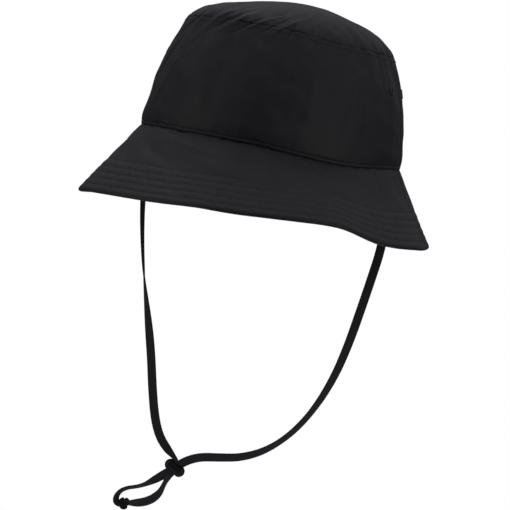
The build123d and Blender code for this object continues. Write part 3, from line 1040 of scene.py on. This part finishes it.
def row_places():
    """Where the rows of stitching lie, down the slope."""
    return [BRIM_WIDTH - FIRST_ROW - row * ROW_SPACING for row in range(BRIM_ROWS)]


def brim_channels(angle, along):
    """The quilted relief that the rows of stitching pull into the brim."""
    last = min(row_places())
    phase = (along - last) / ROW_SPACING
    puff = np.abs(np.sin(pi * phase)) ** 0.35
    inside = (along > last) & (along < BRIM_WIDTH - 0.4 * MM)
    channels = np.where(inside, 0.5 * MM * puff, 0.4 * MM * (1 - np.exp(-np.abs(along - last) / (1.6 * MM))))
    channels = np.where(along >= BRIM_WIDTH - 1.3 * MM, 0.3 * MM * puff, channels)
    way = angle * brim_way(along)
    band = 1 / (1 + np.exp(-(along - last + 2 * MM) / (1.0 * MM)))
    ripple = np.sin(way / (0.95 * MM) + 2.5 * np.sin(way / (23 * MM)) + phase * 2)
    pulls = drift(way, along * 0.5, seed=59, size=7 * MM)
    return channels + band * (0.05 * MM * ripple + 0.08 * MM * pulls * puff)


# Long soft folds of the brim: angle in degrees, place down the slope, turn in degrees away from
# straight down, width, half length and depth, in millimetres
BRIM_FOLDS = [
    (-148, 16, 60, 5, 22, 0.8), (-138, 26, 60, 6, 20, -0.8), (-122, 20, 70, 6, 26, -0.9),
    (-104, 12, 80, 4, 20, 1.0), (-92, 26, 70, 6, 18, 0.5), (-76, 14, 60, 7, 18, -0.4),
    (-61, 9, 75, 6, 18, -0.8), (-50, 23, 60, 8, 16, 1.0), (-36, 14, 40, 5, 16, -0.5),
    (-26, 10, 20, 6, 14, -0.6), (-14, 24, 10, 6, 16, 0.6), (10, 20, 30, 8, 20, 0.6),
    (45, 18, 60, 8, 22, -0.7), (80, 20, 75, 7, 24, 0.8), (115, 16, 60, 8, 20, -0.7),
    (150, 20, 70, 7, 22, 0.8),
]


def brim_relief(angle, along):
    """All of the upper face's relief."""
    way = angle * brim_way(along)
    down = np.maximum(along, 0)
    fine = drift(way, along, seed=61, size=12 * MM)
    soft = drift(way + along * 1.2, along, seed=67, size=22 * MM)
    calm = 1 / (1 + np.exp((along - min(row_places())) / (3 * MM)))
    away = 1 - np.exp(-(down / (7 * MM)))
    folds = folds_on(BRIM_FOLDS, angle, along, brim_way(along))
    return (
        brim_channels(angle, along)
        + (0.06 * MM * fine + 0.4 * MM * soft * calm + folds * calm) * away
        - 0.25 * MM * bump_at(along, 1.0 * MM)
        + seam_puckers(way, down, 0.13, 1.5, 19, 7)
        + ear_seams(angle, (BASE_RADIUS + along * BRIM_SPREAD) * OVAL, 0.4, 3, 2)
    )


def brim_steps(fine, coarse):
    """Distances down the slope, closer together where the rows of stitching are."""
    band = min(row_places()) - 2 * MM
    edge = BRIM_WIDTH - BRIM_THICKNESS / 2
    return np.concatenate([
        np.arange(-TUCKED_IN, band, coarse),
        np.linspace(band, edge, int((edge - band) / fine)),
    ])


def make_brim():
    edge = BRIM_WIDTH - BRIM_THICKNESS / 2
    down = brim_steps(0.55 * MM, 1.3 * MM)
    turn = np.linspace(pi / 2, -pi / 2, 10)[1:]
    roll_along = edge + BRIM_THICKNESS / 2 * np.cos(turn)
    roll_lift = BRIM_THICKNESS / 2 * (np.sin(turn) - 1)
    back = np.array([0.8, 1.6]) * MM
    along = np.concatenate([down, roll_along, edge - back])
    lift = np.concatenate([np.zeros(len(down)), roll_lift, np.full(2, -BRIM_THICKNESS)])
    fade = np.concatenate([np.ones(len(down)), np.clip(1 + np.sin(turn), 0, 1), np.zeros(2)])
    angle, along_grid = np.meshgrid(around, along)
    relief = brim_relief(angle, np.minimum(along_grid, edge)) * fade[:, None]
    points = brim_points(angle, along_grid, lift[:, None] + relief)
    uv = brim_uv(angle, np.cumsum(np.hypot(np.diff(along, prepend=0), np.diff(lift, prepend=0))))
    halves("brim_upper", points, brim_normals(points), uv, SHELL, "shell_fabric")

    down = brim_steps(0.8 * MM, 1.8 * MM)
    down = np.append(down[down < edge - back[1] - 0.4 * MM], edge - back[1] - 0.1 * MM)
    angle, along_grid = np.meshgrid(around, down)
    points = brim_points(angle, along_grid, under_lift(angle, along_grid))
    uv = brim_uv(angle, down)
    halves("brim_under", points, brim_normals(points, -1), uv, SHELL, "under_brim_fabric")

    angle, along_grid = np.meshgrid(around, np.linspace(-1 * MM, BRIM_WIDTH - 4 * MM, 20))
    points = brim_points(angle, along_grid, np.full_like(angle, -0.9 * MM))
    normals, uv = brim_normals(points), brim_uv(angle, along_grid[:, 0])
    piece = cloth_from_grid("brim_interlining", points, normals, 0.8 * MM, "interlining", uv, wrap=True)
    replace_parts(piece, "brim_interlining")
    stitches("brim_stitching", [brim_line(place, face) for place in row_places() for face in (1, -1)])


def under_lift(angle, along):
    """How far the under face lies above the brim's upper face, which is less than nothing."""
    return -BRIM_THICKNESS - 0.7 * brim_channels(angle, along)


def brim_uv(angle, along):
    """Cloth coordinates of the brim, in metres."""
    down = np.broadcast_to(np.asarray(along)[:, None], angle.shape)
    return np.stack([angle * brim_way(down), down], axis=-1)


def brim_line(place, face):
    """A row of stitches on the brim's upper face, or on its under face where face is -1."""
    angle, along = np.meshgrid(around, place + np.array([-0.5, 0, 0.5]) * MM)
    lift = (brim_relief if face > 0 else under_lift)(angle, np.full_like(along, place))
    points = brim_points(angle, along, lift)
    return points[1], brim_normals(points, face)[1], True


# ---- The chin strap ----

SLIDER_CENTRE = (slider_low + slider_high) / 2
SLIDER_ALONG = Vector((-0.6, 0, -0.8))
SLIDER_ACROSS = Vector((-SLIDER_ALONG.z, 0, SLIDER_ALONG.x))
KNOT_CENTRE = (knot_low + knot_high) / 2
STRAND_DEPTH = 0.7 * MM  # the strands lie one behind the other in the slider
STRAND_OFFSET = 0.8 * MM


def at(*millimetres):
    """A point from coordinates in millimetres."""
    return Vector(millimetres) * MM


def by_slider(along, across, forward):
    """A point counted from the slider's middle: along in millimetres, the other two in metres."""
    return SLIDER_CENTRE + SLIDER_ALONG * along * MM + SLIDER_ACROSS * across - Vector((0, forward, 0))


left_route = [
    at(-84.0, 0, -11.1), at(-84.0, 0, -29.0), at(-82.2, 0, -51.0), at(-78.0, 0, -75.0), at(-71.9, 0, -101.0),
    at(-63.9, 0, -127.5), at(-56.2, 0, -154.5), at(-50.8, 0, -178.0), at(-45.4, 0, -197.0),
    at(-40.0, 0, -208.2), at(-33.8, 0.2, -215.0), at(-28.4, 0.8, -219.4), at(-25.0, 1.0, -222.4),
    by_slider(-2.5, -STRAND_OFFSET, -STRAND_DEPTH), by_slider(0, 0, -STRAND_DEPTH),
]
right_route = [
    at(84.0, 0, -11.1), at(86.7, 0, -30.0), at(87.2, 0, -52.0), at(84.2, 0, -75.0), at(80.9, 0, -98.0),
    at(77.3, 0, -121.0), at(71.9, 0, -144.5), at(62.4, 0, -168.5), at(49.8, 0, -188.2), at(34.8, 0, -202.4),
    at(19.4, 0, -210.4), at(4.8, 0, -213.6), at(-7.4, -0.2, -215.8), at(-14.6, -0.5, -218.8),
    by_slider(-6, STRAND_OFFSET, STRAND_DEPTH), by_slider(0, 0, STRAND_DEPTH),
]
upper_route = [
    by_slider(0, 0, STRAND_DEPTH), by_slider(5, -STRAND_OFFSET, STRAND_DEPTH),
    at(-33.2, -0.7, -234.6), at(-38.4, -0.5, -239.2), at(-44.0, -0.3, -243.4), at(-50.0, 0, -246.2),
    at(-56.0, 0, -248.2), at(-60.4, 0, -251.4), at(-62.4, 0, -255.4), at(-62.2, 0, -258.6),
    at(-59.8, 0, -260.2), at(-56.0, 0, -259.0),
]
lower_route = [
    by_slider(0, 0, -STRAND_DEPTH), by_slider(5, STRAND_OFFSET, -STRAND_DEPTH),
    at(-29.4, 0.6, -236.6), at(-31.0, 0.4, -241.4), at(-32.4, 0.2, -246.2), at(-35.8, 0, -251.0),
    at(-40.8, 0, -254.6), at(-46.6, 0, -256.8), at(-51.8, 0, -258.2), at(-56.0, 0, -258.8),
]

# Twists of each strand: the share of its length and the turn there in degrees
left_twist = [
    (0, 50), (0.17, 60), (0.38, 84), (0.5, 130), (0.6, 168), (0.8, 180), (0.925, 200), (0.965, 256), (1, 260)
]
right_twist = [(0, 0), (0.35, 6), (0.6, 46), (0.72, 46), (0.82, 22), (0.9, 6), (1, 0)]
upper_twist = [(0, 0), (0.2, 4), (0.36, 46), (0.46, 62), (0.66, 62), (0.8, 60), (1, 40)]
lower_twist = [(0, 10), (0.2, 55), (0.34, 68), (0.46, 30), (0.6, 0), (0.8, 10), (0.92, 55), (1, 60)]
# Each strand: its name, its route, its twists, whether the slider and the knot belong to it, the
# bodies it bends between, and where the bend starts and ends
loop_bend = ("slider", "chin_strap", SLIDER_CENTRE, by_slider(45, 0, 0))
left_bend = ("chin_strap", "slider", at(-72, 0, -101), at(-29, 0, -219))
right_bend = ("chin_strap", "slider", at(76, 0, -125), at(-18, 0, -221))
strands = (
    ("strap_left", left_route, left_twist, True, left_bend),
    ("strap_right", right_route, right_twist, False, right_bend),
    ("strap_loop_upper", upper_route, upper_twist, False, loop_bend),
    ("strap_loop_lower", lower_route, lower_twist, False, loop_bend),
)


def smooth_line(name, route):
    """The points of the smooth curve that a route controls."""
    curve = bpy.data.curves.new(name, "CURVE")
    curve.dimensions = "3D"
    spline = curve.splines.new("NURBS")
    spline.points.add(len(route) - 1)
    for control, point in zip(spline.points, route):
        control.co = (*point, 1)
    spline.order_u = 3
    spline.use_endpoint_u = True
    spline.resolution_u = 12
    holder = bpy.data.objects.new(name, curve)
    mesh = bpy.data.meshes.new_from_object(holder)
    line = np.array([vertex.co for vertex in mesh.vertices])
    bpy.data.objects.remove(holder)
    steps = distances(line)
    return read_along(np.linspace(0, steps[-1], int(steps[-1] / (0.8 * MM))), steps, line)


def ribbon(name, line, twists):
    """A flat strap along a line, and its length. Where its twist is 0 its face is to the front,
    and at 90 degrees its edge is."""
    steps = distances(line)
    forward = unit(np.gradient(line, axis=0))
    across = unit(np.cross(forward, np.array(to_camera)))
    facing = np.cross(across, forward)
    twist = np.radians(np.interp(steps / steps[-1], *zip(*twists)))
    reach = 5
    even = np.ones(2 * reach + 1) / (2 * reach + 1)
    twist = np.convolve(np.pad(twist, reach, mode="edge"), even, mode="valid")[:, None]
    wide = across * np.cos(twist) + facing * np.sin(twist)
    deep = np.cross(wide, forward)
    corners = np.linspace(0, 2 * pi, 16, endpoint=False)
    out = squarish(np.cos(corners), 0.45)
    ridged = squarish(np.sin(corners), 0.75) * (1 - 0.22 * bump_at(out, 0.25))
    vertices = (
        line[:, None]
        + wide[:, None] * (out * STRAP_WIDTH / 2)[None, :, None]
        + deep[:, None] * (ridged * STRAP_THICKNESS / 2)[None, :, None]
    ).reshape(-1, 3)
    uv = np.stack(np.broadcast_arrays(out[None, :] * STRAP_WIDTH / 2, steps[:, None]), axis=-1).reshape(-1, 2)
    faces = tube_faces(len(line), len(corners))
    return add_mesh(name, vertices, faces, "strap_webbing", None, uv), steps[-1]


def make_slider():
    """A rubber bar with a lobe at each end and a slot through its waist for the two strands."""
    half_length, lobe, waist, depth = 7.7 * MM, 4.1 * MM, 3.5 * MM, 3.4 * MM
    slot_half, slot_depth = 3.3 * MM, 1.7 * MM
    turned = Matrix.Rotation(radians(-10), 3, "Y")
    long_way, short_way = turned @ SLIDER_ACROSS, turned @ SLIDER_ALONG
    rings, sides = 49, 40
    vertices = []
    for index in range(rings):
        place = -cos(pi * index / (rings - 1))
        swell = waist + (lobe - waist) * bump_at(abs(place) - 0.62, 0.3)
        end = sqrt(max(0.0, 1 - abs(place) ** 4.5))
        for turn in np.linspace(0, 2 * pi, sides, endpoint=False):
            along = swell * end * squarish(cos(turn), 0.8)
            forward = (depth + (swell - waist) * 0.6) * end * squarish(sin(turn), 0.8)
            spot = SLIDER_CENTRE + long_way * place * half_length + short_way * along
            vertices.append(spot - Vector((0, forward, 0)))
    faces = grid_faces(rings, sides, True).tolist()
    piece = add_mesh("strap_slider", [list(v) for v in vertices], faces, "slider_rubber", "slider")
    cutter_mesh = bpy.data.meshes.new("slot_cutter")
    wide, long = SLIDER_ACROSS * slot_half, SLIDER_ALONG * 7 * MM
    corners = [
        SLIDER_CENTRE + wide * x + long * z + Vector((0, y * slot_depth, 0))
        for x in (-1, 1) for y in (-1, 1) for z in (-1, 1)
    ]
    cutter_faces = [(0, 1, 3, 2), (4, 6, 7, 5), (0, 4, 5, 1), (2, 3, 7, 6), (0, 2, 6, 4), (1, 5, 7, 3)]
    cutter_mesh.from_pydata([list(c) for c in corners], [], cutter_faces)
    cutter = bpy.data.objects.new("slot_cutter", cutter_mesh)
    bpy.context.scene.collection.objects.link(cutter)
    recalculate(piece)
    recalculate(cutter)
    cut = piece.modifiers.new("slot", "BOOLEAN")
    cut.object = cutter
    cut.operation = "DIFFERENCE"
    cut.solver = "EXACT"
    apply_modifiers(piece)
    bpy.data.objects.remove(cutter)
    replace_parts(piece, "strap_slider")
    return piece


def make_knot():
    """The strap tied over itself: one closed turn of a flattened trefoil."""
    turn = np.linspace(0, 2 * pi, 145)[:-1]
    size = 1.12 * MM
    half_width, half_depth, step = 1.75 * MM, 0.95 * MM, 0.3 * MM
    out = (np.sin(turn) + 2 * np.sin(2 * turn)) * size * 0.82
    high = (np.cos(turn) - 2 * np.cos(2 * turn)) * size * 1.08
    deep = -np.sin(3 * turn) * size * 1.6
    away = np.stack([out, deep, high], axis=-1)
    line = np.array(KNOT_CENTRE) + away
    forward = unit(np.roll(line, -1, axis=0) - np.roll(line, 1, axis=0))
    deep_way = unit(away - (away * forward).sum(axis=1, keepdims=True) * forward)
    wide = np.cross(forward, deep_way)
    corners = np.linspace(0, 2 * pi, 14, endpoint=False)
    sideways = (np.cos(corners) * half_width)[None, :]
    inwards = (np.sin(corners) * half_depth)[None, :]
    vertices = line[:, None] + wide[:, None] * sideways[..., None] + deep_way[:, None] * inwards[..., None]
    vertices = vertices.reshape(-1, 3)
    faces = (grid_faces(len(line) + 1, len(corners), True) % len(vertices)).tolist()
    down = np.arange(len(line))[:, None] * step
    uv = np.stack(np.broadcast_arrays(sideways, down), axis=-1).reshape(-1, 2)
    # The knot takes the webbing's darker copy, painted shade for its tight folds
    piece = add_mesh("strap_knot", vertices, faces, "strap_webbing", "chin_strap", uv, "webbing_painted_shade")
    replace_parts(piece, "strap_knot")
    return piece


def make_anchor(name):
    """A doubled tab of webbing, sewn across with a close bar of stitches."""
    low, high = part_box(name)
    centre = (low + high) / 2
    width, thickness = high.y - low.y, high.x - low.x
    corners = np.linspace(0, 2 * pi, 20, endpoint=False)
    out = squarish(np.cos(corners), 0.35) * width / 2
    deep = squarish(np.sin(corners), 0.5) * thickness / 2
    level = np.linspace(high.z, low.z, 14)[:, None]
    share = (high.z - level) / (high.z - low.z)
    pinch = 1 - 0.35 * bump_at(share - 0.75, 0.12) - 0.5 * np.clip(share - 0.93, 0, 1) * 7
    spots = np.broadcast_arrays(centre.x + deep * pinch, centre.y + out, level)
    vertices = np.stack(spots, axis=-1).reshape(-1, 3)
    uv = np.stack(np.broadcast_arrays(out, high.z - level), axis=-1).reshape(-1, 2)
    piece = add_mesh(name, vertices, tube_faces(len(level), len(corners)), "strap_webbing", None, uv)
    recalculate(piece)
    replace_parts(piece, name)
    bar = []
    inner = -np.sign(centre.x)
    x = centre.x + inner * thickness * 0.34
    for z in np.linspace(low.z + 2.0 * MM, low.z + 3.4 * MM, 5):
        points = np.array([(x, y, z) for y in np.linspace(low.y + 0.6 * MM, high.y - 0.6 * MM, 20)])
        bar.append((points, np.tile([inner, 0.0, 0.0], (len(points), 1)), False))
    vertices, faces = stitch_mesh(bar, pitch=2.2 * MM, length=2.3 * MM, radius=0.2 * MM, lift=0.15 * MM)
    tack = add_mesh(f"{name}_bartack", vertices, faces, "thread", None)
    for mesh in (piece, tack):
        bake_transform(mesh)


def make_chin_strap():
    slider = make_slider()
    knot = make_knot()
    make_anchor("strap_anchor_left")
    make_anchor("strap_anchor_right")
    for name, route, twists, holds, bend in strands:
        line = smooth_line(name, route)
        piece, length = ribbon(name, line, twists)
        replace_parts(piece, name)
        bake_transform(piece)


# ---- Studio ----

LAMP_SIZE = 1.2
FLOOR_HALF, FLOOR_LEVEL = 0.55, -0.42


def area_light(name, place, power):
    """A soft square lamp that looks at the hat."""
    data = bpy.data.lights.new(name, "AREA")
    data.shape = "SQUARE"
    data.size = LAMP_SIZE
    data.energy = power
    lamp = bpy.data.objects.new(name, data)
    lamp.location = place
    lamp.rotation_euler = (-Vector(place)).to_track_quat("-Z", "Y").to_euler()
    bpy.context.scene.collection.objects.link(lamp)


def make_floor():
    mesh = bpy.data.meshes.new("floor")
    corners = [(x * FLOOR_HALF, y * FLOOR_HALF, FLOOR_LEVEL) for x, y in ((-1, -1), (1, -1), (1, 1), (-1, 1))]
    mesh.from_pydata(corners, [], [(0, 1, 2, 3)])
    floor = bpy.data.objects.new("floor", mesh)
    bpy.context.scene.collection.objects.link(floor)
    material, _, shade = new_material("floor")
    shade(Base_Color=(0.9, 0.9, 0.9, 1), Roughness=0.9)
    mesh.materials.append(material)


def make_studio():
    """A plain floor, three lamps and a white room that lights the hat mostly from above."""
    make_floor()
    world = bpy.data.worlds.new("studio")
    bpy.context.scene.world = world
    world.use_nodes = True
    tree = world.node_tree
    node = partial(add_node, tree)
    direction = node("ShaderNodeTexCoord").outputs["Generated"]
    height = node("ShaderNodeSeparateXYZ", direction).outputs["Z"]
    upward = node("ShaderNodeMath", height, 0.46, 0.02, operation="MULTIPLY_ADD").outputs[0]
    strength = node("ShaderNodeMath", upward, 0.02, operation="MAXIMUM").outputs[0]
    room = tree.nodes["Background"]
    fill(room, [("Color", (0.98, 0.98, 1.03, 1)), ("Strength", strength)])
    backdrop = node("ShaderNodeBackground", Color=(1, 1, 1, 1), Strength=1.0)
    seen = node("ShaderNodeLightPath").outputs["Is Camera Ray"]
    mix = node("ShaderNodeMixShader", seen, room.outputs[0], backdrop.outputs[0])
    fill(tree.nodes["World Output"], [("Surface", mix.outputs[0])])
    area_light("left", (-1.3, -0.8, -0.05), 2.8)
    area_light("right", (1.4, -0.5, 0.0), 3.2)
    area_light("top", (-0.5, 0.3, 1.2), 1.3)
    bpy.context.scene.view_settings.view_transform = "Standard"


make_chin_strap()
settle_crown()
make_crown()
make_lining()
make_sweatband()
make_topstitching()
make_brim()
make_studio()
